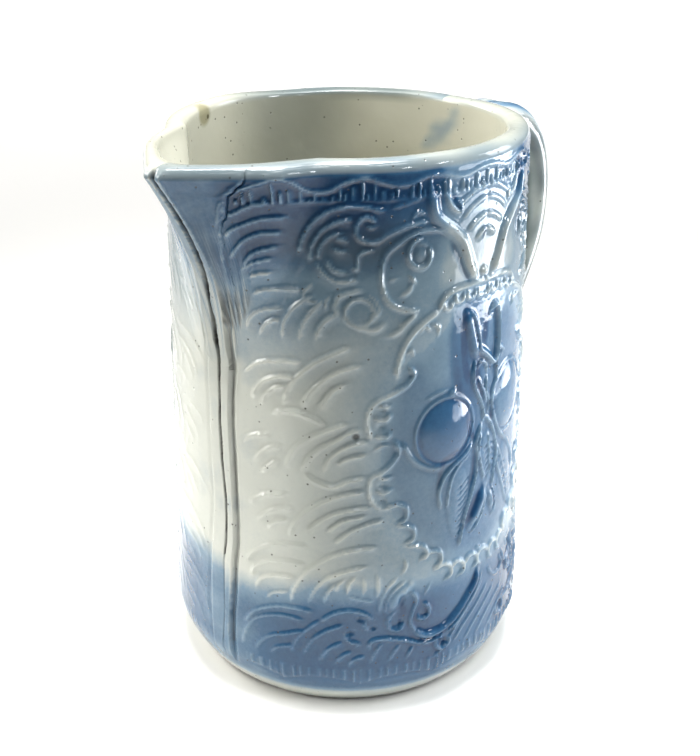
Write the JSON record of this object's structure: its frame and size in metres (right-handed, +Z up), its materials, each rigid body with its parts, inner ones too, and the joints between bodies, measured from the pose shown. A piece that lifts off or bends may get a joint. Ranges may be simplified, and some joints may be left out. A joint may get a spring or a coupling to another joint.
{
  "type": "stoneware pitcher",
  "caption": "Moulded stoneware pitcher with a straight tapered body, a V spout luted on at the front, an ear handle at the back and low relief of waves, scrolls and a fruit medallion on each side.",
  "frame": {"origin": "centre of the round foot, on the flat underside that stands on the table", "axes": "+Z up; +X towards the spout's tip; the handle is on -X; +Y is the side whose medallion faces the viewer in the picture"},
  "size_m": [0.2235, 0.1424, 0.216],
  "materials": {
    "body_glaze": "glossy pale grey salt-type glaze with airbrushed cobalt blue bands at the top and the foot and over the medallions",
    "spout_glaze": "glossy grey-blue glaze, streaked downwards",
    "handle_glaze": "glossy pale blue-white glaze, greener in the hollow",
    "bare_stoneware": "unglazed cream stoneware, matt and slightly gritty"
  },
  "bodies": {
    "root": {"body_half_left": "body_glaze", "body_half_right": "body_glaze", "spout_half_left": "spout_glaze", "spout_half_right": "spout_glaze", "base_slab": "bare_stoneware", "handle": "handle_glaze", "handle_upper_lute": "handle_glaze", "handle_lower_lute": "handle_glaze"}
  },
  "joints": []
}
